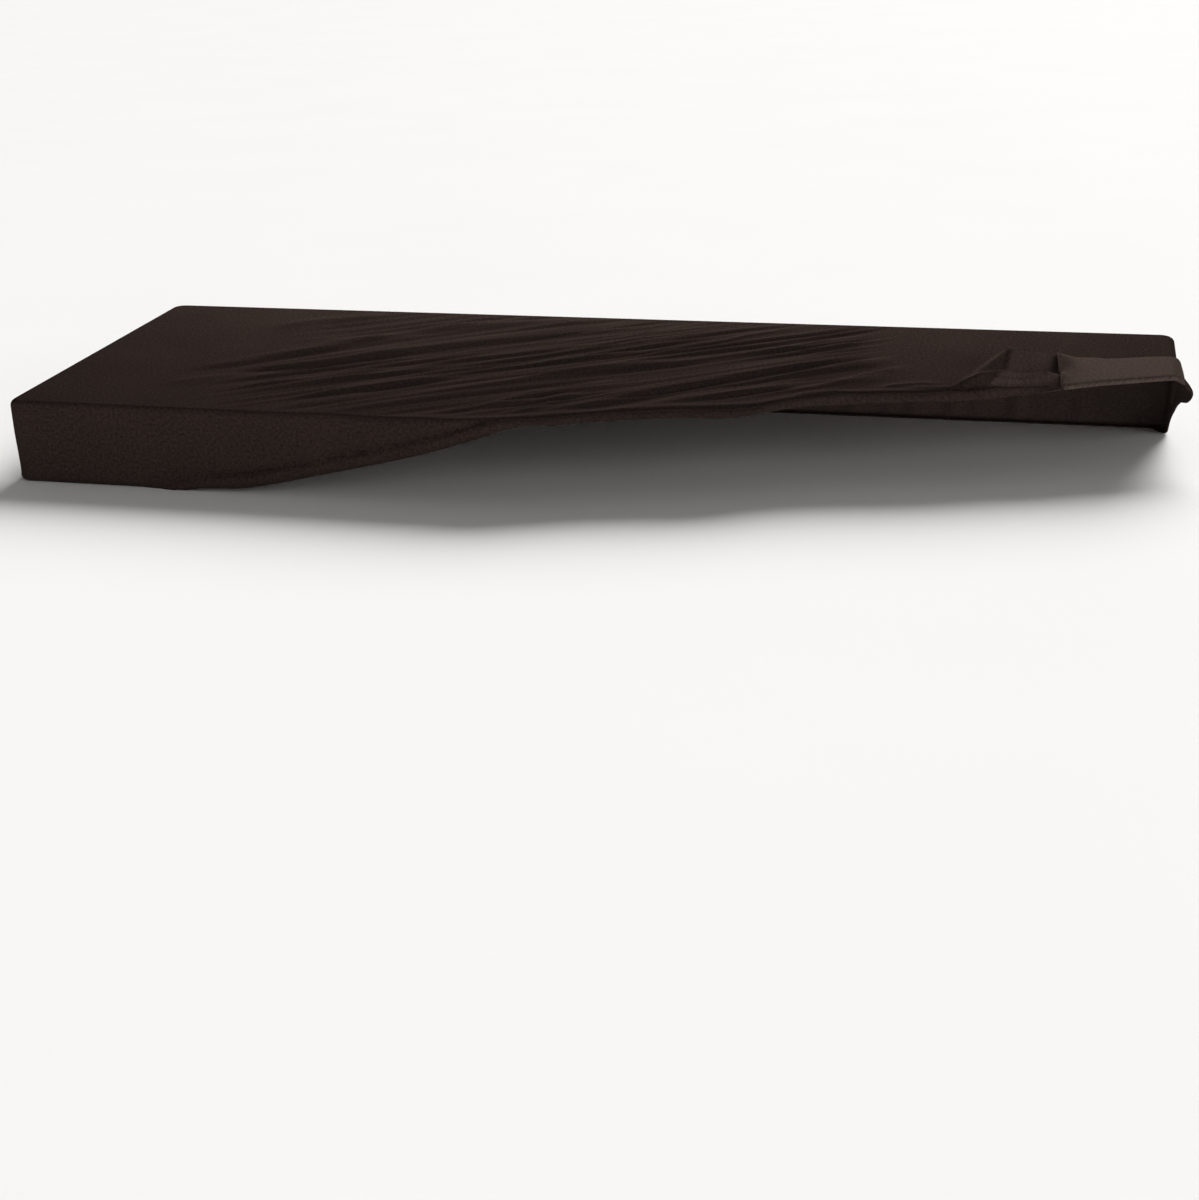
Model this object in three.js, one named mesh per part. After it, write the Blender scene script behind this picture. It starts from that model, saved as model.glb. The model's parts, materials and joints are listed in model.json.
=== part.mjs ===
// A fitted dust cover: one sheet of stretch knit over a long, low form, with a top, two ends, a back and
// a front. Its elastic hem turns under at the left and at the back. At the front it climbs the wall from
// left to right, runs back over the top, and at the far right the cloth is turned back over itself.
// Millimetres, +Z up, the front towards -Y. The origin is on the underside of the top, at its middle.
import * as THREE from "three";
import { ParametricGeometry } from "three/addons/geometries/ParametricGeometry.js";
import { mergeGeometries, mergeVertices } from "three/addons/utils/BufferGeometryUtils.js";

// Driving dimensions
const LENGTH = 1052; // along X, over the end walls
const DEPTH = 358; // along Y, over the front and back walls
const FRONT_HEIGHT = 77; // from the lowest cloth up to the top's front edge
const BACK_HEIGHT = 92; // the same at the back, because the top slopes down to the front
const CLOTH = 1.5; // thickness of the knit
const EDGE_RADIUS = 6; // rounding along the top's edges
const CORNER_RADIUS = 14; // rounding of the upright corners, in plan
const HEM_RADIUS = 5; // rounding where a wall turns under
const HEM_TURN = 12; // how far the hem lies in under the bottom
const STRIP = 14; // the last strip of cloth before the front line
const END_REACH = 34; // how far the cloth comes down the right end wall at its front
const TURN_RADIUS = 2; // inside radius of the fold that turns the cloth back
const CURL_WIDTH = 4; // cloth past that fold where the turn starts
const CORNER_BULGE = 5; // how far the turned-back cloth stands off the right end wall
const BULGE_RUN = 30; // distance behind the fold over which it comes to stand off so far
const FOLD_TAPER = 0.3; // share of a fold's length over which each of its ends fades out

// Where the cloth ends at the front: its hem, and from TURN_START on the fold that turns it back. at:
// place along X. back: distance along the cloth behind the top's front edge, minus down the front wall.
const FRONT_LINE = [
  { at: -380, back: -91 },
  { at: -345, back: -82 },
  { at: -287, back: -75 },
  { at: -198, back: -55 },
  { at: -121, back: -36 },
  { at: -45, back: -13 },
  { at: 31, back: 11 },
  { at: 110, back: 38 },
  { at: 186, back: 66 },
  { at: 270, back: 97 },
  { at: 354, back: 123 },
  { at: 412, back: 150 },
  { at: 456, back: 161 },
  { at: 520, back: 184 },
];
const SMOOTH_END = -404; // where the smooth left end stops and the folds start
const CREASED_END = 300; // where the long folds stop
const CURL_START = 388; // where the hem starts to curl up
const TURN_START = 412; // where it is turned right over
const FLAP_START = 428; // where what is turned over has its full width
const TURN_END = 541; // where it stops being so, on the right end wall rolled flat beside the top

// Where the turned-back cloth ends. at: place along X. tipBack: how far back its hem lies.
const TURNED_HEM = [
  { at: TURN_START, tipBack: 156 },
  { at: FLAP_START, tipBack: 250 },
  { at: 456, tipBack: 252 },
  { at: 466, tipBack: 248 },
  { at: 500, tipBack: 258 },
  { at: 520, tipBack: 259 },
  { at: 530, tipBack: 253 },
  { at: TURN_END, tipBack: 234 },
];

// How far the cloth reaches over the right end. at: distance behind the top's front edge. reach: along
// the cloth.
const RIGHT_LINE = [
  { at: 198, reach: END_REACH },
  { at: 240, reach: 50 },
  { at: 300, reach: 76 },
  { at: 336, reach: 106 },
];

// The main folds. x, back to toX, toBack: the line of its crest or trough on the cloth. height: how far
// it stands up, minus for a trough. left, right: from the line to where it fades out, on each side of it,
// seen along it.
const FOLDS = [
  { x: -390, back: 101, toX: -210, toBack: 255, height: -3.5, left: 17, right: 17 },
  { x: -372, back: 142, toX: -217, toBack: 275, height: 3, left: 15, right: 15 },
  { x: -384, back: 78, toX: -5, toBack: 314, height: -4.5, left: 18, right: 18 },
  { x: -252, back: 252, toX: -115, toBack: 325, height: 3, left: 16, right: 16 },
  { x: -296, back: 53, toX: -14, toBack: 225, height: -3.5, left: 16, right: 16 },
  { x: -262, back: 28, toX: -110, toBack: 132, height: -3, left: 15, right: 15 },
  { x: -175, back: 46, toX: 68, toBack: 213, height: 4, left: 18, right: 18 },
  { x: 50, back: 182, toX: 235, toBack: 330, height: -4.5, left: 18, right: 18 },
  { x: -23, back: 8, toX: 261, toBack: 255, height: -4.5, left: 18, right: 18 },
  { x: -19, back: 243, toX: 100, toBack: 330, height: 3, left: 16, right: 16 },
  { x: 70, back: 90, toX: 250, toBack: 222, height: 3, left: 15, right: 15 },
  { x: 170, back: 141, toX: 275, toBack: 216, height: -3, left: 14, right: 14 },
  { x: 176, back: 112, toX: 285, toBack: 182, height: 2.5, left: 14, right: 14 },
  { x: -310, back: -54, toX: -50, toBack: 18, height: 3, left: 15, right: 15 },
  { x: 20, back: 8, toX: 200, toBack: 70, height: -2, left: 24, right: 24 },
  { x: 322, back: 136, toX: 428, toBack: 196, height: 9, left: 24, right: 24 },
  { x: 318, back: 152, toX: 424, toBack: 218, height: -5, left: 9, right: 9 },
  { x: 373, back: 160, toX: 374, toBack: 286, height: 17, left: 36, right: 50 },
];

// Sizes that follow
const HALF_LENGTH = LENGTH / 2;
const HALF_DEPTH = DEPTH / 2;
const SLOPE = (BACK_HEIGHT - FRONT_HEIGHT) / DEPTH;
const FLAT_X = HALF_LENGTH - EDGE_RADIUS;
const FLAT_DEPTH = DEPTH - 2 * EDGE_RADIUS;
const CORNER_INSET = CORNER_RADIUS - EDGE_RADIUS;
const EDGE_ARC = (EDGE_RADIUS * Math.PI) / 2;
const HEM_ARC = (HEM_RADIUS * Math.PI) / 2;
const TURN_ARC = TURN_RADIUS * Math.PI;
const { lerp, clamp, smoothstep } = THREE.MathUtils;

// Lines of the sheet's grid along X and from the front to the back. Each row is a stretch of it, on from
// the one before, with the steps that it takes.
const ALONG = [
  { to: CORNER_INSET - FLAT_X, steps: 2 },
  { to: SMOOTH_END, steps: 3 },
  { to: CREASED_END, steps: 40 },
  { to: CURL_START, steps: 8 },
  { to: TURN_START, steps: 5 },
  { to: FLAP_START, steps: 4 },
  { to: FLAT_X - 2 * CORNER_INSET, steps: 6 },
  { to: FLAT_X, steps: 4 },
];
const ACROSS = [
  { to: CORNER_INSET, steps: 2 },
  { to: FLAT_DEPTH - CORNER_INSET, steps: 21 },
  { to: FLAT_DEPTH, steps: 2 },
];
const SKIRT_ROWS = 5;

const yAt = (back) => back + EDGE_RADIUS - HALF_DEPTH;
const topZ = (y) => CLOTH * Math.hypot(1, SLOPE) + SLOPE * y;
const BOTTOM = topZ(-HALF_DEPTH) - FRONT_HEIGHT;

// A column of a table at a place along it, on a smooth curve through its rows.
function along(rows, at, column) {
  const last = rows.length - 1;
  const place = clamp(at, rows[0].at, rows[last].at);
  let i = 0;
  while (i < last - 1 && rows[i + 1].at < place) i += 1;
  const slope = (k) => {
    const before = rows[Math.max(k - 1, 0)];
    const after = rows[Math.min(k + 1, last)];
    return (after[column] - before[column]) / (after.at - before.at);
  };
  const step = rows[i + 1].at - rows[i].at;
  const t = (place - rows[i].at) / step;
  const rise = rows[i + 1][column] - rows[i][column];
  const bend = (slope(i) * step - rise) * (1 - t) + (rise - slope(i + 1) * step) * t;
  return rows[i][column] + rise * t + t * (1 - t) * bend;
}

// Grid lines of a list of stretches.
function gridLines(start, stretches) {
  const lines = [start];
  for (const { to, steps } of stretches) {
    const from = lines.at(-1);
    for (let i = 1; i <= steps; i += 1) lines.push(lerp(from, to, i / steps));
  }
  return lines;
}

// How far the folds lift the cloth at a place on it.
function relief(x, back) {
  let height = 0;
  for (const fold of FOLDS) {
    const runX = fold.toX - fold.x;
    const runBack = fold.toBack - fold.back;
    const length = Math.hypot(runX, runBack);
    const share = ((x - fold.x) * runX + (back - fold.back) * runBack) / length ** 2;
    const aside = ((x - fold.x) * runBack - (back - fold.back) * runX) / length;
    const spread = Math.abs(aside) / (aside > 0 ? fold.right : fold.left);
    if (share <= 0 || share >= 1 || spread >= 1) continue;
    const fade = smoothstep(Math.min(share, 1 - share), 0, FOLD_TAPER);
    height += fold.height * fade * Math.cos((spread * Math.PI) / 2) ** 2;
  }
  return height;
}

// The cloth's way over an edge of the top and down a wall: how far out, how far down, and which way it
// faces, from 0, upwards, through a right angle, outwards, to two, downwards.
function overEdge(reach, height) {
  const wall = height - EDGE_RADIUS - HEM_RADIUS;
  if (reach < EDGE_ARC) {
    const facing = reach / EDGE_RADIUS;
    return {
      out: EDGE_RADIUS * Math.sin(facing),
      down: EDGE_RADIUS * (1 - Math.cos(facing)),
      facing,
    };
  }
  const below = reach - EDGE_ARC;
  if (below < wall) return { out: EDGE_RADIUS, down: EDGE_RADIUS + below, facing: Math.PI / 2 };
  const turn = Math.min((below - wall) / HEM_RADIUS, Math.PI / 2);
  const under = Math.max(below - wall - HEM_ARC, 0);
  return {
    out: EDGE_RADIUS - HEM_RADIUS * (1 - Math.cos(turn)) - under,
    down: EDGE_RADIUS + wall + HEM_RADIUS * Math.sin(turn),
    facing: Math.PI / 2 + turn,
  };
}

const wallHeight = (start) => start.z - BOTTOM;
const fullReach = (height) => EDGE_ARC + height - EDGE_RADIUS - HEM_RADIUS + HEM_ARC + HEM_TURN - HEM_RADIUS;

// Distances of the skirt's rows from the top's edge on a wall of a given height: two round the edge, and
// the rest drawn up in step where the cloth doesn't reach right under.
function wallRows(height, reach) {
  const full = fullReach(height);
  const lower = full - HEM_TURN + HEM_RADIUS;
  const share = (reach - EDGE_ARC) / (full - EDGE_ARC);
  const onWall = [lower - HEM_ARC, lower, full].map((row, i, { length }) => {
    const even = lerp(EDGE_ARC, full, (i + 1) / length);
    return lerp(EDGE_ARC, lerp(even, row, share), share);
  });
  return [0, EDGE_ARC / 2, EDGE_ARC, ...onWall];
}

// A point of the cloth over an edge that starts at a place on the top, lifted off by a height.
function edgePoint(start, outward, reach, lift) {
  const { out, down, facing } = overEdge(reach, wallHeight(start));
  const away = out + lift * Math.sin(facing);
  const rise = lift * Math.cos(facing) - down;
  return new THREE.Vector3(start.x + outward.x * away, start.y + outward.y * away, start.z + rise);
}

const FORWARD = new THREE.Vector2(0, -1);
const BACKWARD = new THREE.Vector2(0, 1);
const RIGHTWARD = new THREE.Vector2(1, 0);
const LEFTWARD = new THREE.Vector2(-1, 0);
const flatPoint = (x, back) => new THREE.Vector3(x, yAt(back), topZ(yAt(back)));

// A point of the cloth on the top, or down the front where back is minus, or over the right end past the
// flat top.
function clothPoint(x, back, lift = 0) {
  const height = relief(x, back) + lift;
  if (back < 0) return edgePoint(flatPoint(x, 0), FORWARD, -back, height);
  if (x > FLAT_X) return edgePoint(flatPoint(FLAT_X, back), RIGHTWARD, x - FLAT_X, height);
  const point = flatPoint(x, back);
  point.z += height;
  return point;
}

const frontLine = (x) => Math.max(along(FRONT_LINE, x, "back"), -fullReach(wallHeight(flatPoint(x, 0))));
const skirtStart = (x) => Math.max(0, frontLine(x) + STRIP);

// Where a grid point of the flat top lies, with three of its corners rounded in plan and the square rest
// of each corner drawn in with it. outward is the way from the corner's centre.
function roundCorner(x, back) {
  const fromFront = back < FLAT_DEPTH / 2;
  const beyondX = (Math.abs(x) - (FLAT_X - CORNER_INSET)) / CORNER_INSET;
  const edgeBack = fromFront ? CORNER_INSET - back : back - (FLAT_DEPTH - CORNER_INSET);
  const beyondBack = edgeBack / CORNER_INSET;
  const square = fromFront && x > 0;
  if (beyondX <= 0 || beyondBack <= 0 || square) return { x, back, outward: null };
  const shareX = beyondX * Math.sqrt(1 - beyondBack ** 2 / 2);
  const shareBack = beyondBack * Math.sqrt(1 - beyondX ** 2 / 2);
  const signX = Math.sign(x);
  const signBack = fromFront ? -1 : 1;
  return {
    x: x + signX * (shareX - beyondX) * CORNER_INSET,
    back: back + signBack * (shareBack - beyondBack) * CORNER_INSET,
    outward: new THREE.Vector2(signX * shareX, signBack * shareBack).normalize(),
  };
}

const COLUMNS = gridLines(-FLAT_X, ALONG);
const ROWS = gridLines(0, ACROSS).map((line) => line / FLAT_DEPTH);
const LAST_COLUMN = COLUMNS.length - 1;
const LAST_ROW = ROWS.length - 1;

// A grid point of the top: column along X, row from the front to the back, evenly spaced at the right
// end.
function gridPoint(column, row) {
  const x = COLUMNS[column];
  const share = lerp(ROWS[row], row / LAST_ROW, smoothstep(x, 0, FLAT_X));
  return roundCorner(x, lerp(skirtStart(x), FLAT_DEPTH, share));
}

// The way of the cloth ahead of the top's grid: a flat strip, a bend that is nothing at the left and half
// a turn at the right, and the width past the bend.
function frontWay(x) {
  const ahead = skirtStart(x) - frontLine(x);
  const curl = smoothstep(x, CURL_START, TURN_START) - smoothstep(x, TURN_END, FLAT_X + END_REACH);
  const flat = ahead - lerp(TURN_ARC + CURL_WIDTH, TURN_RADIUS, curl);
  const turnedWidth = along(TURNED_HEM, x, "tipBack") - frontLine(x) - TURN_RADIUS;
  return { ahead, flat, bend: Math.PI * curl, width: curl < 1 ? CURL_WIDTH : turnedWidth };
}

// A point of that way, at a distance along it from the grid's edge.
function frontPoint(x, distance) {
  const { flat, bend } = frontWay(x);
  const start = skirtStart(x);
  if (distance <= flat || bend === 0) return clothPoint(x, start - distance);
  const radius = TURN_ARC / bend;
  const turned = Math.min((distance - flat) / radius, bend);
  const past = Math.max(distance - flat - TURN_ARC, 0);
  const ahead = radius * Math.sin(turned) + past * Math.cos(bend);
  const rise = radius * (1 - Math.cos(turned)) + past * Math.sin(bend);
  const overEnd = smoothstep(x, FLAT_X - EDGE_RADIUS, FLAT_X + EDGE_ARC);
  const bulge = CORNER_BULGE * overEnd * smoothstep(past, 0, BULGE_RUN);
  return clothPoint(x, start - flat - ahead, rise + bulge);
}

// Distance of one of the skirt's rows from the grid's front edge: spaced for a wall, for a strip that
// lies on the top, or for cloth that bends.
function frontRow(x, row) {
  const { ahead, flat, width } = frontWay(x);
  const wall = wallRows(wallHeight(flatPoint(x, 0)), ahead)[row];
  const strip = lerp(wall, (row / SKIRT_ROWS) * ahead, smoothstep(frontLine(x), -2 * STRIP, -STRIP));
  const round = flat + TURN_ARC;
  const bent = [0, flat, flat + TURN_ARC / 2, round, round + width / 2, round + width];
  return lerp(strip, bent[row], smoothstep(x, CREASED_END, CURL_START));
}

// A point of an end wall or the back wall, or of the rounded corner beside it, a row down from the top's
// edge.
function wallPoint({ column, row, outward }, wallRow) {
  const { x, back, outward: corner } = gridPoint(column, row);
  const start = clothPoint(x, back);
  const height = wallHeight(start);
  const full = fullReach(height);
  const reach = outward === RIGHTWARD ? Math.min(along(RIGHT_LINE, back, "reach"), full) : full;
  return edgePoint(start, corner ?? outward, wallRows(height, reach)[wallRow], 0);
}

// The edge of the top's grid from its front right corner round the right end, the back and the left end.
function wallRing() {
  const ring = [];
  for (let row = 0; row < LAST_ROW; row += 1) {
    ring.push({ column: LAST_COLUMN, row, outward: RIGHTWARD });
  }
  for (let column = LAST_COLUMN; column > 0; column -= 1) {
    ring.push({ column, row: LAST_ROW, outward: BACKWARD });
  }
  for (let row = LAST_ROW; row >= 0; row -= 1) {
    ring.push({ column: 0, row, outward: LEFTWARD });
  }
  return ring;
}

// The columns of the front: those of the top, and on over the right end, where its wall's rows meet the
// front.
function frontColumns() {
  const corner = flatPoint(FLAT_X, skirtStart(FLAT_X));
  const overEnd = wallRows(wallHeight(corner), END_REACH).slice(1);
  return [...COLUMNS, ...overEnd.map((reach) => FLAT_X + reach)];
}

// A patch of the cloth's face from a grid of points, with its faces towards the side from which its
// columns run to the right and its rows run up.
function patch(columns, rows, pointAt) {
  const place = (u, v, target) => target.copy(pointAt(Math.round(u * columns), Math.round(v * rows)));
  return new ParametricGeometry(place, columns, rows);
}

// The outer face of the cloth: the top, the front, and the walls round the rest, joined along their
// edges.
function outerFace() {
  const top = patch(LAST_COLUMN, LAST_ROW, (column, step) => {
    const { x, back } = gridPoint(column, LAST_ROW - step);
    return clothPoint(x, back);
  });
  top.index.array.reverse(); // its rows run from the back, so that the faces' diagonals follow the folds
  const columns = frontColumns();
  const front = patch(columns.length - 1, SKIRT_ROWS, (column, step) => {
    const row = SKIRT_ROWS - step;
    const x = columns[column];
    const { outward } = roundCorner(x, 0);
    return outward ? wallPoint({ column, row: 0, outward }, row) : frontPoint(x, frontRow(x, row));
  });
  const ring = wallRing();
  const walls = patch(ring.length - 1, SKIRT_ROWS, (place, step) => {
    return wallPoint(ring[place], SKIRT_ROWS - step);
  });
  const face = mergeGeometries([top, front, walls]);
  face.deleteAttribute("normal");
  face.deleteAttribute("uv");
  const merged = mergeVertices(face, CLOTH / 100);
  merged.computeVertexNormals();
  return merged;
}

// A closed sheet of a given thickness behind a face: the face, the same face turned round behind it, and
// a rim along the face's open edge.
function thicken(face, thickness) {
  const { position, normal } = face.attributes;
  const count = position.count;
  const points = new Float32Array(count * 6);
  const point = new THREE.Vector3();
  const facing = new THREE.Vector3();
  for (let i = 0; i < count; i += 1) {
    point.fromBufferAttribute(position, i).toArray(points, i * 3);
    facing.fromBufferAttribute(normal, i);
    point.addScaledVector(facing, -thickness).toArray(points, (count + i) * 3);
  }
  const corners = Array.from(face.index.array);
  const edges = new Map();
  const triangles = [];
  for (let i = 0; i < corners.length; i += 3) {
    const [a, b, c] = corners.slice(i, i + 3);
    triangles.push(a, b, c, count + a, count + c, count + b);
    for (const [from, to] of [
      [a, b],
      [b, c],
      [c, a],
    ]) {
      if (!edges.delete(`${to} ${from}`)) edges.set(`${from} ${to}`, [from, to]);
    }
  }
  for (const [from, to] of edges.values()) {
    triangles.push(to, from, count + from, to, count + from, count + to);
  }
  const sheet = new THREE.BufferGeometry();
  sheet.setAttribute("position", new THREE.BufferAttribute(points, 3));
  sheet.setIndex(triangles);
  sheet.computeVertexNormals();
  return sheet;
}

const knit = new THREE.MeshStandardMaterial({ color: 0x241b18, roughness: 0.85, metalness: 0 });
const cover = new THREE.Mesh(thicken(outerFace(), CLOTH), knit);
cover.name = "cover";

const dustCover = new THREE.Group();
dustCover.add(cover);

export default dustCover;
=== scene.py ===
# A fitted dust cover of stretch knit over a long, low form. One sheet of cloth has a top, two ends, a back
# and a front. Its elastic hem turns under at the left and at the back. At the front it climbs the wall from
# left to right and runs back over the top, and at the far right the cloth is turned back over itself.
# Sizes in the tables are millimetres, in the frame's own axes: +X to the right, +Y to the back, +Z up.

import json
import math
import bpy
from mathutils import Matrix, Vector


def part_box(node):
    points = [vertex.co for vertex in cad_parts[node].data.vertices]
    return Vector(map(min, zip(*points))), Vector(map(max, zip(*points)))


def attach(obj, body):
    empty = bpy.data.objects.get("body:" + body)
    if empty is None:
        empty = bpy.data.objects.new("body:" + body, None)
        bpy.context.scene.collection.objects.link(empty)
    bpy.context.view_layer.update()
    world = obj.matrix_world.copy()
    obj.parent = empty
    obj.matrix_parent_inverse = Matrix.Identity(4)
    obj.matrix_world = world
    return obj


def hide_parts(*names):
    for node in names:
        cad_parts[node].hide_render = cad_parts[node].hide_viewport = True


bl_info = {
    "name": "Stretch-knit dust cover",
    "version": (1, 0, 0),
    "blender": (4, 5, 0),
    "location": "View3D > Sidebar > Dust cover",
    "description": "A fitted cover of stretch knit with its folds, hem and stitches, in a plain studio",
    "category": "Add Mesh",
}

from typing import NamedTuple

import bpy
import numpy as np
from bpy.props import FloatProperty, FloatVectorProperty, PointerProperty
from bpy.types import Operator, Panel, PropertyGroup
from mathutils import Matrix, Vector

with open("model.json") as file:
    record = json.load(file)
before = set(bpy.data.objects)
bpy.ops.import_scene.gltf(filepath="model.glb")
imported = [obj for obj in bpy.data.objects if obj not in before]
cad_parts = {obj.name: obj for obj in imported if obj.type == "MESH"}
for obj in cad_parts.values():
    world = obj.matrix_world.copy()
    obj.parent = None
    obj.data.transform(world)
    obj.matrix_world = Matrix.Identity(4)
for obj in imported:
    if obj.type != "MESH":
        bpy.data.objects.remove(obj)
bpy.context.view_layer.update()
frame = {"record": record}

# Sizes from the frame
MM = 0.001
COVER_LOW, COVER_HIGH = (np.array(corner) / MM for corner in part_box("cover"))
HALF_LENGTH = -COVER_LOW[0]
HALF_DEPTH = COVER_HIGH[1]
BOTTOM = COVER_LOW[2]
UNDERSIDE = next(m["axis"] for m in frame["record"]["mounts"] if m["name"] == "top_underside")
SLOPE = -UNDERSIDE[1] / UNDERSIDE[2]

# Sizes of the form
TOP_RISE = 1.5  # from the underside, through the origin, up to the cloth's outer face
EDGE_RADIUS = 6.0  # rounding along the top's edges
CORNER_RADIUS = 14.0  # rounding of the upright corners, in plan
HEM_RADIUS = 5.0  # rounding where a wall turns under
HEM_TURN = 12.0  # how far the hem lies in under the bottom
CASING = 14.0  # width of the hem's casing, from its edge to its stitches
STRIP = 32.0  # the last strip of cloth before the front line, which the casing shapes
END_REACH = 34.0  # how far the cloth comes down the right end wall at its front
TURN_RADIUS = 1.0  # inside radius of the fold that turns the cloth back
CURL_WIDTH = 2.5  # cloth past that fold where the turn starts
FLAP_LEAN = 0.1  # how far the turned-back cloth leans to the left, for each millimetre back
END_FRONT = 231.0  # how far behind the top's front edge the right end's wall starts
END_CALM = 30.0  # how far from there the wall's ripples fade in
END_BULGE = 12.0  # how far the cloth stands off the right end wall near its front
BULGE_FADE = (205.0, 275.0)  # where that bulge fades out, behind the top's front edge
BACK_FADE = 14.0  # strip along the top's back edge in which the creases fade out
FOLD_TAPER = 0.3  # share of a fold's length over which each of its ends fades out
CREASE_TAPER = 0.28  # the same for a crease
STREAK = 1.0  # height of the fine streaks between the creases
GATHER = 0.9  # how far the elastic draws the walls into ripples at their foot
GATHER_RISE = 45.0  # height over which those ripples fade out

# Sizes that follow
FLAT_X = HALF_LENGTH - EDGE_RADIUS
FLAT_DEPTH = 2 * (HALF_DEPTH - EDGE_RADIUS)
CORNER_INSET = CORNER_RADIUS - EDGE_RADIUS
EDGE_ARC = EDGE_RADIUS * math.pi / 2
HEM_ARC = HEM_RADIUS * math.pi / 2
TURN_ARC = TURN_RADIUS * math.pi

SMOOTH_END = -404.0  # where the smooth left end stops and the folds start
CREASED_END = 300.0  # where the long folds stop
CURL_START = 423.6  # where the hem starts to curl up
TURN_START = 424.4  # where it is turned right over
FLAP_START = 428.0  # where what is turned over has its full width
TURN_END = 529.0  # where it stops being turned over, just past the right end's edge
UNTURNED = 529.4  # where it hangs straight down again, on the right end

# Where things change along X, from a start to an end
CASING_SHOWS = (-400, -350)  # the casing starts to show at the front
CASING_ON_TOP = (-90, 10)  # it comes up onto the top
CASING_ROLLS = (155, 205)  # it rolls out
STREAKS_START = (-370, -285)
STREAKS_STOP = (210, 268)
WRONG_SIDE_SHOWS = (165, 215)  # the hem's wrong side comes into sight, partly as painted light on its front-facing roll
ROLL_WIDENS = (352, 380)  # a wider band of it is painted lighter, in front of the raised corner, partly as painted light
CORNER_SHOWS = (366, 378)  # painted light starts on the raised corner's right-facing facet, partly its wrong side
CORNER_PALES = (385, 418)  # that facet gets the full lighter colour: painted light, partly its wrong side


class Hem(NamedTuple):
    """Where the cloth ends at the front, or the fold that turns it back, at a place along X."""

    at: float
    back: float  # along the cloth behind the top's front edge, minus down the front wall


FRONT_LINE = [
    Hem(-380, -91),
    Hem(-345, -82),
    Hem(-287, -75),
    Hem(-198, -55),
    Hem(-121, -36),
    Hem(-45, -11),
    Hem(4, 9),
    Hem(37, 23),
    Hem(87, 39),
    Hem(155, 54),
    Hem(194, 80),
    Hem(218, 93),
    Hem(252, 104),
    Hem(321, 119),
    Hem(355, 130),
    Hem(388, 145),
    Hem(TURN_START, 157),
    Hem(456, 173),
    Hem(FLAT_X, 199),
    Hem(FLAT_X + 12, 200),
    Hem(FLAT_X + 21, 204),
    Hem(FLAT_X + 29, 214),
    Hem(FLAT_X + END_REACH, 230.5),
]


class Tip(NamedTuple):
    """How far back the hem of the turned-back cloth lies, at a place along X."""

    at: float
    back: float


TURNED_HEM = [
    Tip(TURN_START, 241),
    Tip(FLAP_START, 246),
    Tip(456, 249),
    Tip(466, 247),
    Tip(500, 258),
    Tip(FLAT_X, 261),
    Tip(UNTURNED, 262),
]


class EndReach(NamedTuple):
    """How far the cloth comes down the right end, at a distance behind the top's front edge."""

    at: float
    reach: float


RIGHT_LINE = [EndReach(END_FRONT, END_REACH), EndReach(258, 52), EndReach(300, 76), EndReach(336, 106)]


class HemLift(NamedTuple):
    """How far the casing stands up from the cloth's plane, at a distance from its edge."""

    away: float
    lift: float


HEM_ON_WALL = [
    HemLift(0, -1.5),
    HemLift(3, 1.6),
    HemLift(7, 3.2),
    HemLift(11, 2.2),
    HemLift(CASING, -2.2),
    HemLift(17, -0.6),
    HemLift(21, 1.2),
    HemLift(STRIP, 0),
]
HEM_ON_TOP = [
    HemLift(0, -3),
    HemLift(1.5, -1),
    HemLift(3.5, 1),
    HemLift(7, 1.6),
    HemLift(CASING, -1),
    HemLift(20, 0.8),
    HemLift(STRIP, 0),
]
HEM_ROLLED = [
    HemLift(0, -3.6),
    HemLift(1.5, -1.2),
    HemLift(3, 1.2),
    HemLift(5.5, 2.6),
    HemLift(8, 2.2),
    HemLift(CASING, -1.6),
    HemLift(20, 1),
    HemLift(STRIP, 0),
]


class Fold(NamedTuple):
    """A broad fold: the line of its crest or trough, how far it stands up, and its spread to each side."""

    x: float
    back: float
    to_x: float
    to_back: float
    height: float
    spread: float


FOLDS = [
    Fold(-390, 101, -210, 255, -3.5, 17),
    Fold(-372, 142, -217, 275, 3, 15),
    Fold(-384, 78, -5, 314, -4.5, 18),
    Fold(-252, 252, -115, 325, 3, 16),
    Fold(-296, 53, -14, 225, -3.5, 16),
    Fold(-262, 28, -110, 132, -3, 15),
    Fold(-175, 46, 68, 213, 4, 18),
    Fold(50, 182, 235, 330, -4.5, 18),
    Fold(-23, 8, 261, 255, -4.5, 18),
    Fold(-19, 243, 100, 330, 3, 16),
    Fold(70, 90, 250, 222, 3, 15),
    Fold(170, 141, 275, 216, -3, 14),
    Fold(176, 112, 285, 182, 2.5, 14),
    Fold(-310, -54, -50, 18, 3, 15),
    Fold(20, 8, 200, 70, -2, 24),
]


class Crease(NamedTuple):
    """A drawn crease: a ridge along a path of places (x, back), its height, and its width to each side."""

    height: float
    left: float
    right: float
    path: tuple


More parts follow.
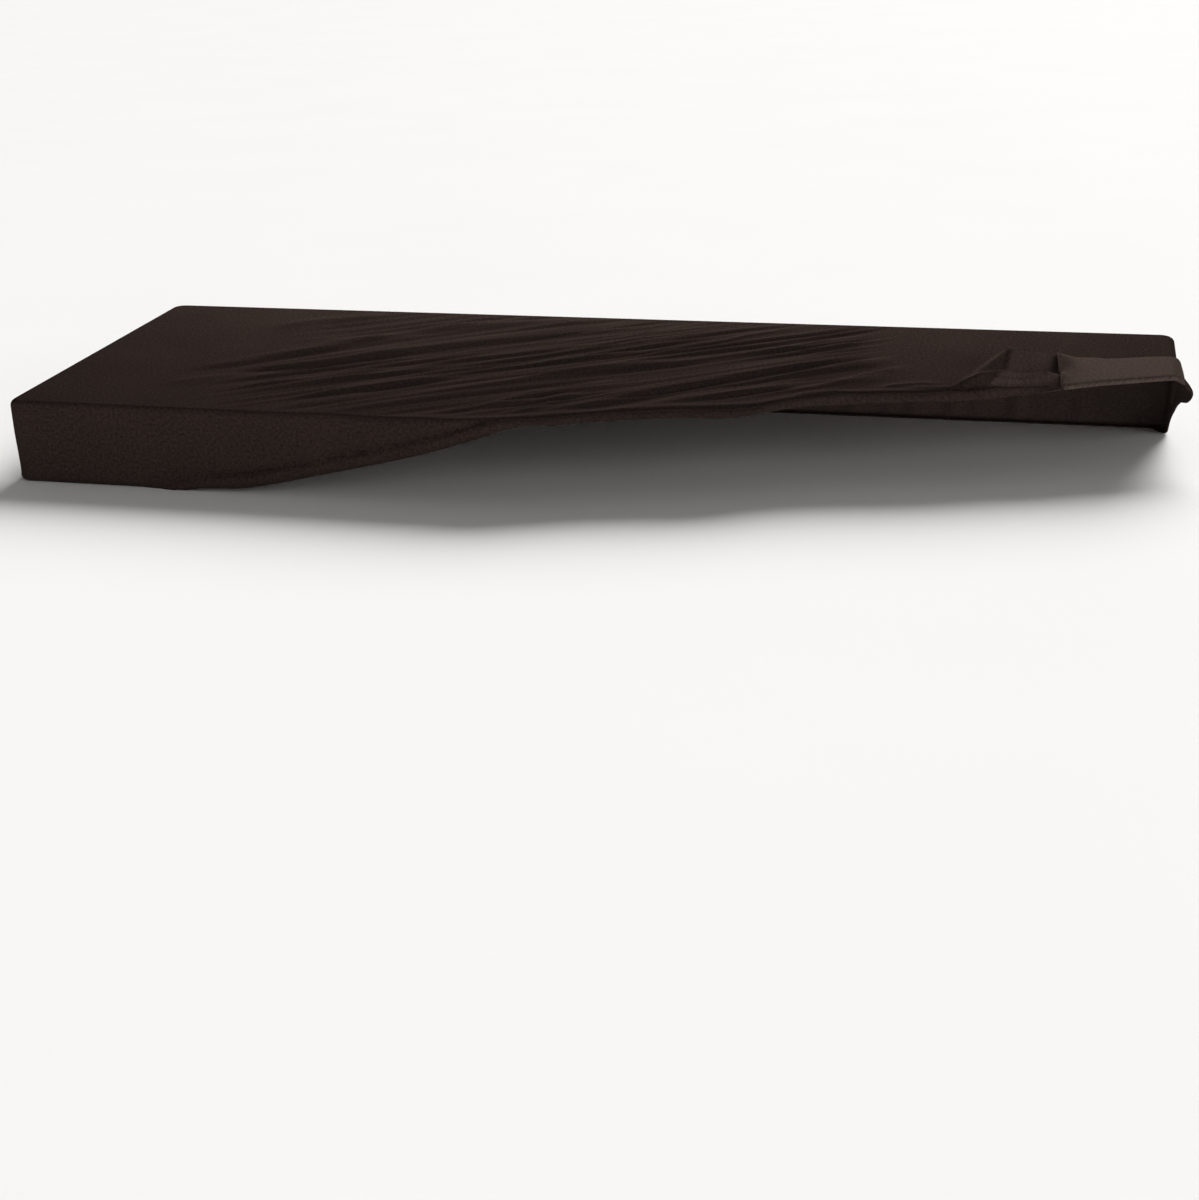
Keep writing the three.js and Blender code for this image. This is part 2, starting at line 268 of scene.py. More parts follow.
# Creases whose steep side faces the front, away from the light, and shows as a dark line
DARK_CREASES = [
    Crease(2.8, 20, 3.5, ((-362, 108), (-345, 118), (-310, 135), (-261, 158), (-226, 184), (-180, 210))),
    Crease(3.1, 22, 3.5, ((-290, 143), (-261, 158), (-195, 201), (-139, 240), (-48, 289), (20, 320))),
    Crease(
        3.1,
        22,
        3.5,
        ((-30, 130), (-15, 141), (37, 177), (72, 194), (107, 222), (163, 257), (190, 281), (225, 320)),
    ),
    Crease(
        2.9,
        18,
        3.5,
        ((-20, 22), (-8, 34), (23, 65), (40, 82), (93, 124), (159, 182), (190, 208), (255, 258)),
    ),
    Crease(2.5, 14, 3.3, ((-410, 102), (-387, 121), (-348, 145), (-299, 192), (-255, 234))),
    Crease(2.2, 12, 2.9, ((-65, 212), (-50, 219), (-20, 232), (-2, 243), (40, 270))),
    Crease(2.2, 12, 2.9, ((30, 214), (45, 226), (79, 257), (107, 281), (150, 314))),
    Crease(2.2, 10, 2.9, ((-44, 20), (-40, 27), (-23, 46), (-13, 67), (6, 100))),
    Crease(2.5, 12, 3.3, ((66, 66), (80, 74), (128, 102), (177, 126), (215, 152))),
    Crease(2.0, 10, 2.9, ((-262, 36), (-245, 48), (-194, 84), (-125, 128))),
]
# Creases with a sharp crest that catches the light, and a long soft shade before it
LIGHT_CREASES = [
    Crease(3.2, 5.3, 19, ((-386, 268), (-371, 278), (-337, 304), (-313, 314), (-266, 343))),
    Crease(2.9, 6.1, 19, ((-241, 284), (-221, 290), (-145, 311), (-103, 321), (-21, 343))),
    Crease(2.2, 4.4, 16, ((-326, 224), (-311, 229), (-267, 244), (-233, 251), (-196, 266))),
    Crease(2.5, 5.3, 16, ((-406, 71), (-391, 77), (-348, 101), (-323, 108), (-291, 127))),
    Crease(2.8, 5.3, 18, ((-336, 68), (-321, 73), (-271, 91), (-243, 105), (-201, 123))),
    Crease(2.2, 3.5, 14, ((-266, 31), (-258, 39), (-222, 73), (-194, 94), (-121, 137))),
    Crease(1.8, 3.5, 13, ((-261, 18), (-251, 25), (-222, 49), (-191, 73))),
    Crease(
        3.8,
        5.3,
        22,
        ((-258, -15), (-241, -5), (-201, 24), (-152, 54), (-103, 87), (-55, 122), (-13, 160), (59, 213)),
    ),
    Crease(2.9, 4.4, 16, ((-92, -3), (-86, 8), (-65, 52), (-41, 87), (-20, 92), (-6, 108), (38, 143))),
    Crease(2.0, 3.5, 14, ((-76, 178), (-61, 188), (-16, 216), (24, 240))),
    Crease(2.8, 3.5, 16, ((-16, 227), (-4, 236), (26, 262), (75, 297), (107, 318), (154, 343))),
    Crease(1.8, 3.5, 13, ((-2, 276), (9, 286), (47, 319), (80, 339))),
    Crease(2.0, 3.5, 13, ((99, 272), (109, 281), (152, 321), (174, 340))),
    Crease(2.8, 3.5, 16, ((140, 137), (154, 145), (197, 176), (218, 202), (274, 241))),
    Crease(2.5, 3.5, 14, ((210, 139), (219, 146), (246, 174), (286, 215))),
    Crease(2.2, 3.5, 14, ((172, 237), (182, 245), (211, 272), (244, 283))),
]
# Small folds that the hem's elastic draws up behind it, and grooves in its roll
GATHERS = [
    Crease(2.4, 5, 5, ((262, 139), (285, 151), (300, 156), (322, 158))),
    Crease(2.2, 4, 5, ((276, 143), (310, 146), (332, 145), (352, 150), (376, 160))),
    Crease(2.0, 4, 5, ((190, 108), (215, 119), (242, 128))),
    Crease(2.2, 4, 3, ((-216, -38), (-190, -28), (-160, -17), (-128, -8))),
    Crease(2.0, 3, 3, ((-176, -34), (-150, -24), (-124, -17), (-96, -8))),
    Crease(2.4, 5, 3, ((-322, -66), (-292, -55), (-254, -48), (-212, -38))),
    Crease(-4.2, 2.2, 2.2, ((356, 146), (378, 157), (398, 166), (422, 174))),
    Crease(-7, 2.6, 2.6, ((348, 146), (380, 164), (396, 173), (408, 179), (421, 185))),
    Crease(-4.0, 2.2, 2.2, ((378, 170), (394, 181), (410, 190), (424, 196))),
]
# The thick roll of hem in front of the raised corner
ROLL = Crease(9.0, 8, 7, ((330, 140), (362, 152), (380, 165), (396, 175), (412, 184), (434, 194)))


class Corner(NamedTuple):
    """A corner of a facet of the raised cloth beside the turn, and how far it stands up there."""

    x: float
    back: float
    height: float


PEAK = Corner(376, 216, 21)
FOOT = Corner(373, 175, 9)
LEFT = Corner(347, 203, 0)
NEAR = Corner(318, 166, 0)
RIGHT = Corner(420, 238, 7)
BEHIND = Corner(396, 262, 0)
BEHIND_LEFT = Corner(360, 245, 0)
FACET_ROUND = 0.8  # rounding where two facets meet


class Stretch(NamedTuple):
    """A stretch of the top's grid, on from the last one: its end at the front and the back, and its steps."""

    front: float
    back: float
    steps: int


COLUMN_STRETCHES = [
    Stretch(CORNER_INSET - FLAT_X, CORNER_INSET - FLAT_X, 4),
    Stretch(SMOOTH_END, 0, 110),
    Stretch(-50, 350, 150),
    Stretch(CREASED_END, 450, 100),
    Stretch(FLAP_START, 492, 58),
    Stretch(FLAT_X - 2 * CORNER_INSET, FLAT_X - 2 * CORNER_INSET, 22),
    Stretch(FLAT_X, FLAT_X, 8),
]
CORNER_ROWS = 4
TOP_ROWS = 44
SKIRT_ROWS = 20
EDGE_ROWS = 4
HEM_ROWS = 4
TUCK_ROWS = 2

FLAT_MAP = "flat_cloth"
# Share of the lighter wrong-side colour, partly painted light on the hem's roll and on the raised corner's
# facet
WRONG_SIDE_AND_LIGHT = "wrong_side_and_painted_light_share"
RIGHT_SIDE_LOOP = (2.4, 2.0)  # width and height of a loop of the knit
WRONG_SIDE_LOOP = (2.0, 2.6)
MATH, COLOR_MIX = "ShaderNodeMath", "ShaderNodeMix"
FIRST_COLOR, SECOND_COLOR, MIXED_COLOR = 6, 7, 2  # sockets of a colour mix


def smooth(low, high, value):
    """From 0 at low to 1 at high, easing in and out."""
    share = np.clip((value - low) / (high - low), 0, 1)
    return share * share * (3 - 2 * share)


def mix(start, end, share):
    return start + (end - start) * share


def along(table, at):
    """A table's second column at places in its first, on a smooth curve through its rows."""
    places, values = np.array(table, dtype=float).T
    last = len(places) - 1
    index = np.arange(last + 1)
    before, after = np.maximum(index - 1, 0), np.minimum(index + 1, last)
    slope = (values[after] - values[before]) / (places[after] - places[before])
    at = np.clip(at, places[0], places[-1])
    i = np.clip(np.searchsorted(places, at) - 1, 0, last - 1)
    step = places[i + 1] - places[i]
    share = (at - places[i]) / step
    rise = values[i + 1] - values[i]
    bend = mix(slope[i] * step - rise, rise - slope[i + 1] * step, share)
    return values[i] + rise * share + share * (1 - share) * bend


def y_at(back):
    return back + EDGE_RADIUS - HALF_DEPTH


def flat_point(x, back):
    """A place on the top before any fold lifts it."""
    y = y_at(back)
    return np.stack([x, y, TOP_RISE * math.hypot(1, SLOPE) + SLOPE * y], axis=-1)


def wall_height(start):
    return start[..., 2] - BOTTOM


def full_reach(height):
    """The cloth's whole way over an edge, down a wall of a height, round its foot and in under it."""
    return EDGE_ARC + height - EDGE_RADIUS - HEM_RADIUS + HEM_ARC + HEM_TURN - HEM_RADIUS


def front_line(x):
    full = full_reach(wall_height(flat_point(x, np.zeros_like(x))))
    return np.maximum(along(FRONT_LINE, x), -full)


def skirt_start(x):
    """Where the top's grid ends and the front's strip starts."""
    return np.maximum(0, front_line(np.minimum(x, FLAT_X)) + STRIP)


def lift_of_folds(x, back):
    height = np.zeros_like(x)
    for fold in FOLDS:
        run_x, run_back = fold.to_x - fold.x, fold.to_back - fold.back
        length = math.hypot(run_x, run_back)
        share = ((x - fold.x) * run_x + (back - fold.back) * run_back) / length**2
        aside = np.abs((x - fold.x) * run_back - (back - fold.back) * run_x) / length
        fade = smooth(0, FOLD_TAPER, np.minimum(share, 1 - share))
        height += fold.height * fade * np.cos(np.clip(aside / fold.spread, 0, 1) * math.pi / 2) ** 2
    return height


def beside(path, x, back):
    """How far places lie to the left of a path, and at which share of its length they are nearest to it."""
    corners = np.array(path, dtype=float)
    lengths = np.hypot(*np.diff(corners, axis=0).T)
    travelled = np.concatenate([[0], np.cumsum(lengths)])
    nearest = np.full_like(x, np.inf)
    left = np.zeros_like(x)
    share = np.zeros_like(x)
    for (from_x, from_back), (to_x, to_back), length, before in zip(
        corners[:-1], corners[1:], lengths, travelled
    ):
        run_x, run_back = (to_x - from_x) / length, (to_back - from_back) / length
        ahead = np.clip((x - from_x) * run_x + (back - from_back) * run_back, 0, length)
        aside = (back - from_back) * run_x - (x - from_x) * run_back
        gap = np.hypot(x - from_x - run_x * ahead, back - from_back - run_back * ahead)
        closer = gap < nearest
        nearest = np.where(closer, gap, nearest)
        left = np.where(closer, np.copysign(gap, aside), left)
        share = np.where(closer, (before + ahead) / travelled[-1], share)
    return left, share


def lift_of_crease(crease, x, back):
    left, share = beside(crease.path, x, back)
    fade = smooth(0, CREASE_TAPER, np.minimum(share, 1 - share))
    width = np.where(left > 0, crease.left, crease.right)
    return crease.height * fade * np.exp(-((left / width) ** 2))


def short_of_back(back):
    """How much of a crease is left near the top's back edge."""
    return 1 - smooth(FLAT_DEPTH - BACK_FADE, FLAT_DEPTH, back)


def lift_of_creases(x, back):
    lift = sum(lift_of_crease(crease, x, back) for crease in DARK_CREASES + LIGHT_CREASES + GATHERS)
    return lift * short_of_back(back)


def lift_of_streaks(x, back):
    """Fine streaks side by side along the creases, where the cloth is drawn tightest."""
    across = 0.85 * back - 0.53 * x
    bend = 2 * np.sin(x / 61) + np.sin(back / 47)
    waves = np.sin(across / 3.4 + bend) + 0.7 * np.sin(across / 2.2 + 1.5 * np.sin(x / 83 + 1))
    waves += 0.45 * np.sin(across / 1.45 - bend)
    patchy = 0.7 + 0.3 * np.sin(across / 23 + x / 90)
    tight = smooth(*STREAKS_START, x) * (1 - smooth(*STREAKS_STOP, x)) * smooth(26, 60, back - front_line(x))
    return STREAK * waves * patchy * tight * smooth(0, 25, back) * short_of_back(back)


def facet(corners, x, back):
    """The height of the plane through three corners."""
    corners = np.array(corners)
    plane = np.linalg.solve(np.column_stack([corners[:, :2], np.ones(3)]), corners[:, 2])
    return plane[0] * x + plane[1] * back + plane[2]


def peak_facets(x, back):
    """The heights of the sharp corner's facets: its right one, then those on its left and behind it."""
    right = facet((FOOT, PEAK, RIGHT), x, back)
    left = np.maximum(facet((LEFT, FOOT, PEAK), x, back), facet((LEFT, FOOT, NEAR), x, back))
    behind = facet((PEAK, RIGHT, BEHIND), x, back)
    behind_left = facet((LEFT, PEAK, BEHIND_LEFT), x, back)
    return np.stack([right, left, behind, behind_left])


def lift_of_peak(x, back):
    """How far the cloth stands up in the sharp corner beside the turn, and in the roll of hem before it."""
    sides = peak_facets(x, back) / FACET_ROUND
    lowest = -np.log(np.exp(-np.clip(sides, -60, 60)).sum(axis=0))
    peak = FACET_ROUND * np.log1p(np.exp(lowest))
    beside_turn = 1 - smooth(FLAP_START - 6, FLAP_START + 10, x)
    return (peak * smooth(8, 34, back - front_line(x)) + lift_of_crease(ROLL, x, back)) * beside_turn


def lift_of_hem(x, back):
    """How far the casing lifts the cloth near the front line."""
    away = back - front_line(x)
    on_top = mix(along(HEM_ON_WALL, away), along(HEM_ON_TOP, away), smooth(*CASING_ON_TOP, x))
    lift = mix(on_top, along(HEM_ROLLED, away), smooth(*CASING_ROLLS, x))
    uneven = 1 + 0.14 * np.sin(x / 17) + 0.1 * np.sin(x / 7.3 + 1)
    shown = smooth(*CASING_SHOWS, x) * (1 - smooth(CURL_START - 30, CURL_START, x))
    return lift * uneven * shown


def lift_of_end(reach, back):
    """How far the cloth stands off the right end wall near its front, at a distance over its edge."""
    bulge = smooth(4, END_REACH / 2, reach) * (1 - 0.7 * smooth(END_REACH / 2, END_REACH * 1.3, reach))
    return END_BULGE * bulge * (1 - smooth(*BULGE_FADE, back))


def relief(x, back):
    """How far its folds, creases, corner and casing lift the cloth at a place on it."""
    cover = bpy.context.scene.dust_cover
    broad = cover.fold_height * lift_of_folds(x, back)
    fine = cover.crease_height * (lift_of_creases(x, back) + lift_of_streaks(x, back))
    return broad + fine + lift_of_peak(x, back) + lift_of_hem(x, back) + lift_of_end(x - FLAT_X, back)


def over_edge(reach, height):
    """The cloth's way over an edge of the top: how far out and down it has come, and which way it faces."""
    wall = height - EDGE_RADIUS - HEM_RADIUS
    below = reach - EDGE_ARC
    edge_turn = np.clip(reach / EDGE_RADIUS, 0, math.pi / 2)
    hem_turn = np.clip((below - wall) / HEM_RADIUS, 0, math.pi / 2)
    under = np.maximum(below - wall - HEM_ARC, 0)
    out = EDGE_RADIUS * np.sin(edge_turn) - HEM_RADIUS * (1 - np.cos(hem_turn)) - under
    down = EDGE_RADIUS * (1 - np.cos(edge_turn)) + np.clip(below, 0, wall) + HEM_RADIUS * np.sin(hem_turn)
    return out, down, edge_turn + hem_turn


def edge_point(start, outward, reach, lift):
    """A point of the cloth over an edge that starts at a place on the top, lifted off by a height."""
    out, down, facing = over_edge(reach, wall_height(start))
    away = out + lift * np.sin(facing)
    rise = lift * np.cos(facing) - down
    return start + np.stack([outward[..., 0] * away, outward[..., 1] * away, rise], axis=-1)


def towards(x, y, like):
    """One direction in plan for each of many places."""
    return np.stack([np.full_like(like, x), np.full_like(like, y)], axis=-1)


def cloth_point(x, back, lift=0.0):
    """A point on the top, or down the front where back is minus, or over the right end past the flat top."""
    start = flat_point(np.minimum(x, FLAT_X), np.maximum(back, 0))
    reach = np.maximum(-back, 0) + np.maximum(x - FLAT_X, 0)
    outward = np.where((back < 0)[..., None], towards(0, -1, x), towards(1, 0, x))
    return edge_point(start, outward, reach, relief(x, back) + lift)


def round_corner(x, back):
    """Where a place of the flat top lies with three of its corners rounded, and its way out of the corner."""
    at_front = back < FLAT_DEPTH / 2
    beyond_x = (np.abs(x) - FLAT_X) / CORNER_INSET + 1
    beyond_back = np.where(at_front, -back, back - FLAT_DEPTH) / CORNER_INSET + 1
    rounded = (beyond_x > 0) & (beyond_back > 0) & ~(at_front & (x > 0))
    beyond_x, beyond_back = np.where(rounded, beyond_x, 0), np.where(rounded, beyond_back, 0)
    share_x = beyond_x * np.sqrt(1 - beyond_back**2 / 2)
    share_back = beyond_back * np.sqrt(1 - beyond_x**2 / 2)
    way_x, way_back = np.sign(x), np.where(at_front, -1, 1)
    outward = np.stack([way_x * share_x, way_back * share_back], axis=-1)
    outward = outward / np.maximum(np.linalg.norm(outward, axis=-1, keepdims=True), 1e-9)
    new_x = x + way_x * (share_x - beyond_x) * CORNER_INSET
    new_back = back + way_back * (share_back - beyond_back) * CORNER_INSET
    return new_x, new_back, outward, rounded


def column_ends():
    """The places along X of the top's columns, at the front and at the back."""
    front, back = [-FLAT_X], [-FLAT_X]
    for stretch in COLUMN_STRETCHES:
        shares = np.arange(1, stretch.steps + 1) / stretch.steps
        front.extend(mix(front[-1], stretch.front, shares))
        back.extend(mix(back[-1], stretch.back, shares))
    return np.array(front), np.array(back)


def row_shares():
    """The rows' shares of the way from the front to the back, closer together at the rounded corners."""
    corner = np.linspace(0, CORNER_INSET, CORNER_ROWS + 1)
    middle = np.linspace(CORNER_INSET, FLAT_DEPTH - CORNER_INSET, TOP_ROWS - 2 * CORNER_ROWS + 1)
    return np.concatenate([corner[:-1], middle, FLAT_DEPTH - corner[-2::-1]]) / FLAT_DEPTH


FRONT_X, BACK_X = column_ends()
ROW_SHARES = row_shares()
LAST_COLUMN = len(FRONT_X) - 1
LAST_ROW = len(ROW_SHARES) - 1


def grid_point(column, row):
    """A place of the top's grid. Its columns run along the folds, and its rows are even at the right end."""
    share = mix(ROW_SHARES[row], row / LAST_ROW, smooth(0, FLAT_X, FRONT_X[column]))
    x = mix(FRONT_X[column], BACK_X[column], share)
    back = mix(skirt_start(FRONT_X[column]), FLAT_DEPTH, share)
    return round_corner(x, back)


def wall_rows(height, reach, row):
    """How far from the top's edge a row of a wall lies, drawn up where the cloth doesn't reach under."""
    full = full_reach(height)
    foot = full - HEM_TURN + HEM_RADIUS
    wall_steps = SKIRT_ROWS - EDGE_ROWS - HEM_ROWS - TUCK_ROWS
    on_edge = EDGE_ARC * row / EDGE_ROWS
    on_wall = mix(EDGE_ARC, foot - HEM_ARC, (row - EDGE_ROWS) / wall_steps)
    on_foot = foot - HEM_ARC + HEM_ARC * (row - EDGE_ROWS - wall_steps) / HEM_ROWS
    on_tuck = mix(foot, full, (row - SKIRT_ROWS + TUCK_ROWS) / TUCK_ROWS)
    lower = np.where(row <= SKIRT_ROWS - TUCK_ROWS, on_foot, on_tuck)
    whole = np.where(row <= EDGE_ROWS + wall_steps, on_wall, lower)
    share = (reach - EDGE_ARC) / (full - EDGE_ARC)
    even = mix(EDGE_ARC, full, (row - EDGE_ROWS) / (SKIRT_ROWS - EDGE_ROWS))
    drawn = EDGE_ARC + (mix(even, whole, share) - EDGE_ARC) * share
    return np.where(row <= EDGE_ROWS, on_edge, drawn)


def front_way(x):
    """The way of the cloth ahead of the top's grid: a flat strip, a bend, and the width past the bend."""
    ahead = skirt_start(x) - front_line(x)
    curl = smooth(CURL_START, TURN_START, x) - smooth(TURN_END, UNTURNED, x)
    flat = ahead - mix(TURN_ARC + CURL_WIDTH, TURN_RADIUS, curl)
    turned = along(TURNED_HEM, x) - front_line(x) - TURN_RADIUS
    return ahead, flat, math.pi * curl, np.where(curl < 1, CURL_WIDTH, turned)


def front_point(x, distance):
    """A point of that way, at a distance along it from the grid's edge."""
    _, flat, bend, _ = front_way(x)
    start = skirt_start(x)
    radius = TURN_ARC / np.maximum(bend, 1e-6)
    bent = (distance > flat) & (bend > 0)
    turned = np.where(bent, np.minimum((distance - flat) / radius, bend), 0)
    past = np.where(bent, np.maximum(distance - flat - TURN_ARC, 0), 0)
    ahead = np.where(bent, flat + radius * np.sin(turned) + past * np.cos(bend), distance)
    rise = np.where(bent, radius * (1 - np.cos(turned)) + past * np.sin(bend), 0)
    lean = FLAP_LEAN * past * (bend > 3) * (1 - smooth(FLAP_START, FLAT_X - 20, x))
    return cloth_point(x - lean, start - ahead, rise)


def front_rows(x, row):
    """How far from the grid's front edge a row lies: on a wall, on a strip, or on cloth that bends."""
    ahead, flat, _, width = front_way(x)
    share = row / SKIRT_ROWS
    wall = wall_rows(wall_height(flat_point(x, np.zeros_like(x))), ahead, row)
    strip = ahead * (1 - (1 - share) ** 1.7)
    line = front_line(x)
    laid = mix(wall, strip, smooth(-2 * STRIP, -STRIP, line))
    bend_row, past_row = 4, 9
    on_flat = flat * row / bend_row
    on_bend = flat + TURN_ARC * (row - bend_row) / (past_row - bend_row)
    past = flat + TURN_ARC + width * (row - past_row) / (SKIRT_ROWS - past_row)
    bent = np.where(row <= bend_row, on_flat, np.where(row <= past_row, on_bend, past))
    bent = np.where(flat > 0, bent, ahead * share)
    return mix(laid, bent, smooth(CURL_START - 40, CURL_START, x))


def wall_ripple(place, reach, full):
    """How far the elastic's gathers push a wall in or out near its foot."""
    waves = np.sin(place / 5.1) + 0.7 * np.sin(place / 8.7 + 2) + 0.5 * np.sin(place / 3.3 + 4)
    foot = full - HEM_TURN - HEM_RADIUS
    start = np.maximum(foot - GATHER_RISE, 0)
    return GATHER * waves * smooth(start, foot, reach) * (1 - smooth(foot, foot + HEM_ARC, reach))


def on_right_end(outward):
    return outward[..., 0] > 0.999


def wall_hem(start, back, outward):
    """How far from the top's edge the hem of an end wall or the back wall lies."""
    full = full_reach(wall_height(start))
    return np.where(on_right_end(outward), np.minimum(along(RIGHT_LINE, back), full), full)


def wall_lift(x, back, outward, reach, hem):
    """How far such a wall stands in or out, and at the right end's front off its form."""
    ripple = wall_ripple(x + back, reach, hem)
    at_end = ripple * smooth(END_FRONT, END_FRONT + END_CALM, back) + lift_of_end(reach, back)
    return np.where(on_right_end(outward), at_end, ripple)


def wall_point(x, back, outward, row):
    """A point of an end wall or the back wall, a row below the top's edge, and its place on flat cloth."""
    start = cloth_point(x, back)
    hem = wall_hem(start, back, outward)
    reach = wall_rows(wall_height(start), hem, row)
    flat = np.stack([x, back], axis=-1) + outward * reach[..., None]
    return edge_point(start, outward, reach, wall_lift(x, back, outward, reach, hem)), flat


def wrong_side_and_painted_light(x, back):
    """Share of the lighter wrong-side colours: the hem's real wrong side where it rolls out, with painted
    light on its roll, and painted light, partly wrong side, on the sharp corner's right-facing facet.
    """
    away = back - front_line(x)
    # The hem's roll, in front of the raised corner most of all: lighter colour, partly its wrong side, partly
    # painted light
    rim = mix(5, 30, smooth(*ROLL_WIDENS, x))
    hem = (1 - smooth(rim, rim + 3, away)) * smooth(*WRONG_SIDE_SHOWS, x) * 0.7
    right, *others = peak_facets(x, back)
    # Painted light: the facet facing right gets the lighter colour in place of light from the right, partly
    # its wrong side
    facing_right = smooth(0, 1.5, np.min(others, axis=0) - right) * smooth(*CORNER_SHOWS, x)
    corner = facing_right * mix(0.85, 1, smooth(*CORNER_PALES, x))
    # Most of that lighter colour is kept off the casing itself, within 12 mm of the hem's edge
    behind_casing = mix(0.12, 1, smooth(12, CASING, away))
    return np.maximum(hem, corner) * behind_casing * (1 - smooth(CURL_START - 2, CURL_START, x))


def top_panel(column, row):
    x, back, _, _ = grid_point(column, row)
    return cloth_point(x, back), np.stack([x, back], axis=-1), wrong_side_and_painted_light(x, back)


def front_columns():
    """The columns of the front: those of the top, and on over the right end to meet its wall's rows."""
    corner = flat_point(np.array([FLAT_X]), skirt_start(np.array([FLAT_X])))
    rows = np.arange(1, SKIRT_ROWS + 1)
    over_end = wall_rows(np.repeat(wall_height(corner), SKIRT_ROWS), END_REACH, rows)
    return np.concatenate([FRONT_X, FLAT_X + over_end])


def front_panel(column, step):
    row = SKIRT_ROWS - step
    x = FRONT_COLUMNS[column]
    distance = front_rows(x, row)
    points = front_point(x, distance)
    flat = np.stack([x, skirt_start(x) - distance], axis=-1)
    corner_x, corner_back, outward, rounded = round_corner(x, np.zeros_like(x))
    corner_points, corner_flat = wall_point(corner_x, corner_back, outward, row)
    points = np.where(rounded[:, None], corner_points, points)
    wrong_side_and_light = wrong_side_and_painted_light(x, skirt_start(x) - distance)
    return points, np.where(rounded[:, None], corner_flat, flat), wrong_side_and_light


def wall_ring():
    """The top's edge from its front right corner round the right end, the back and the left end."""
    right = [(LAST_COLUMN, row, 1, 0) for row in range(LAST_ROW)]
    rear = [(column, LAST_ROW, 0, 1) for column in range(LAST_COLUMN, 0, -1)]
    left = [(0, row, -1, 0) for row in range(LAST_ROW, -1, -1)]
    return np.array(right + rear + left)


def ring_point(places):
    """Where places of that ring lie on the top, and their way out from it."""
    column, row, out_x, out_y = WALL_RING[places].T
    x, back, corner, rounded = grid_point(column, row)
    return x, back, np.where(rounded[:, None], corner, np.stack([out_x, out_y], axis=-1))


def walls_panel(place, step):
    x, back, outward = ring_point(place)
    return *wall_point(x, back, outward, SKIRT_ROWS - step), np.zeros_like(x)


FRONT_COLUMNS = front_columns()
WALL_RING = wall_ring()


def deselect_all():
    bpy.ops.object.select_all(action="DESELECT")


def add_panel(columns, rows, place):
    """A grid of faces whose points a function of column and row places, with the flat cloth as its map, and
    marked with the share of lighter wrong-side colour, which in places is painted light."""
    bpy.ops.mesh.primitive_grid_add(x_subdivisions=columns, y_subdivisions=rows, size=2, calc_uvs=False)
    panel = bpy.context.object
    mesh = panel.data
    grid = np.empty(len(mesh.vertices) * 3)
    mesh.vertices.foreach_get("co", grid)
    grid = grid.reshape(-1, 3)
    column = np.rint((grid[:, 0] + 1) / 2 * columns).astype(int)
    row = np.rint((grid[:, 1] + 1) / 2 * rows).astype(int)
    points, flat, wrong_side_and_light = place(column, row)
    mesh.vertices.foreach_set("co", (points * MM).ravel())
    mesh.attributes.new(WRONG_SIDE_AND_LIGHT, "FLOAT", "POINT").data.foreach_set("value", wrong_side_and_light.astype(np.float32))
    corners = np.empty(len(mesh.loops), dtype=np.int32)
    mesh.loops.foreach_get("vertex_index", corners)
    layer = mesh.uv_layers.new(name=FLAT_MAP)
    layer.uv.foreach_set("vector", (flat[corners] * MM).astype(np.float32).ravel())
    mesh.update()
    return panel


def linear(color):
    """An sRGB colour, as a hex value, in linear light."""
    channels = [int(color[i : i + 2], 16) / 255 for i in (1, 3, 5)]
    return [c / 12.92 if c <= 0.04045 else ((c + 0.055) / 1.055) ** 2.4 for c in channels]


def add_node(tree, kind, inputs=None, **settings):
    """A node with its settings. inputs gives a socket's value, or the socket that it is linked from."""
    node = tree.nodes.new(kind)
    for name, value in settings.items():
        setattr(node, name, value)
    for name, value in (inputs or {}).items():
        if isinstance(value, bpy.types.NodeSocket):
            tree.links.new(value, node.inputs[name])
        else:
            node.inputs[name].default_value = value
    return node


def new_material(name):
    material = bpy.data.materials.new(name)
    material.use_nodes = True
    return material, material.node_tree, material.node_tree.nodes["Principled BSDF"]


def knit_loops(tree, flat, wale, course):
    """Height of the loops of a plain knit, as rows of V shapes on the flat cloth's map."""
    place = add_node(tree, "ShaderNodeSeparateXYZ", {0: flat}).outputs
    across = add_node(tree, MATH, {0: place["X"], 1: 1 / (wale * MM)}, operation="MULTIPLY").outputs[0]
    leg = add_node(tree, MATH, {0: across, 1: 0.5}, operation="PINGPONG").outputs[0]
    up = add_node(tree, MATH, {0: place["Y"], 1: 1 / (course * MM)}, operation="MULTIPLY").outputs[0]
    phase = add_node(tree, MATH, {0: up, 1: leg}, operation="ADD").outputs[0]
    turn = add_node(tree, MATH, {0: phase, 1: 2 * math.pi}, operation="MULTIPLY").outputs[0]
    rows = add_node(tree, MATH, {0: turn}, operation="SINE").outputs[0]
    return add_node(tree, MATH, {0: rows, 1: 0.5, 2: 0.5}, operation="MULTIPLY_ADD").outputs[0]


